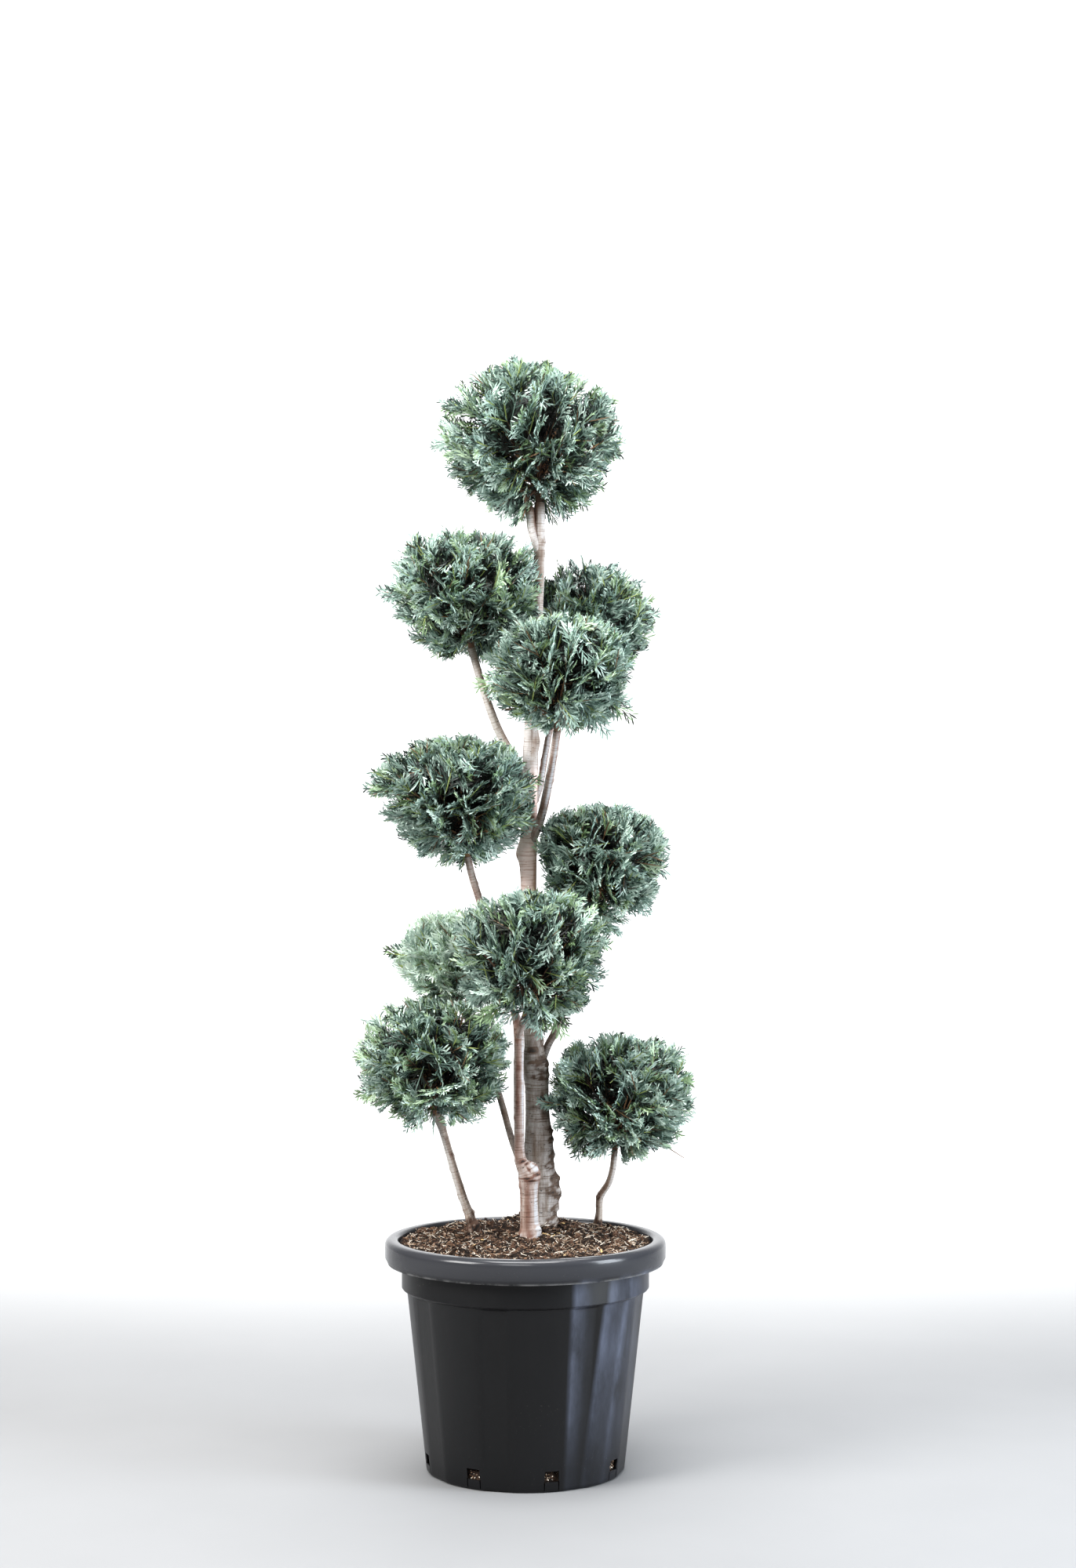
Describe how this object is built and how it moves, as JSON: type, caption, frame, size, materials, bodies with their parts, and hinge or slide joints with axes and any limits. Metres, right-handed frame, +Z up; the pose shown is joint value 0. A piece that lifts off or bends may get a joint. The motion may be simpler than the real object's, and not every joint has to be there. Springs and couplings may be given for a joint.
{
  "type": "potted pompon-pruned cypress",
  "caption": "Potted columnaris cypress pruned into clipped pompons on bare trunk, stems and boughs, in a round black nursery container.",
  "frame": {"origin": "centre of the pot's flat underside, on the surface it stands on", "axes": "+Z up along the pot's axis, +X to the right as seen from the front, +Y to the rear"},
  "size_m": [0.4712, 0.3974, 1.5654],
  "materials": {
    "pot_plastic": "black moulded plastic, satin, slightly dusty",
    "potting_mix": "moist bark and fibre potting mix",
    "grey_bark": "smooth grey bark with fine horizontal rings",
    "brown_bark": "smooth reddish brown bark with fine horizontal rings",
    "foliage": "blue-green scale leaves in flat sprays, dull with a waxy bloom"
  },
  "bodies": {
    "root": {"pot": "pot_plastic", "soil": "potting_mix", "trunk": "grey_bark", "front_stem": "brown_bark", "left_stem": "grey_bark", "right_stem": "grey_bark", "left_leader": "grey_bark", "bough_upper_left": "grey_bark", "bough_upper_front": "brown_bark", "bough_upper_right": "brown_bark", "bough_mid_right": "grey_bark", "bough_centre": "brown_bark", "bough_centre_left": "grey_bark", "pompon_top": "foliage", "pompon_upper_left": "foliage", "pompon_upper_right": "foliage", "pompon_upper_front": "foliage", "pompon_mid_left": "foliage", "pompon_mid_right": "foliage", "pompon_centre": "foliage", "pompon_centre_left": "foliage", "pompon_lower_left": "foliage", "pompon_lower_right": "foliage"}
  },
  "joints": []
}
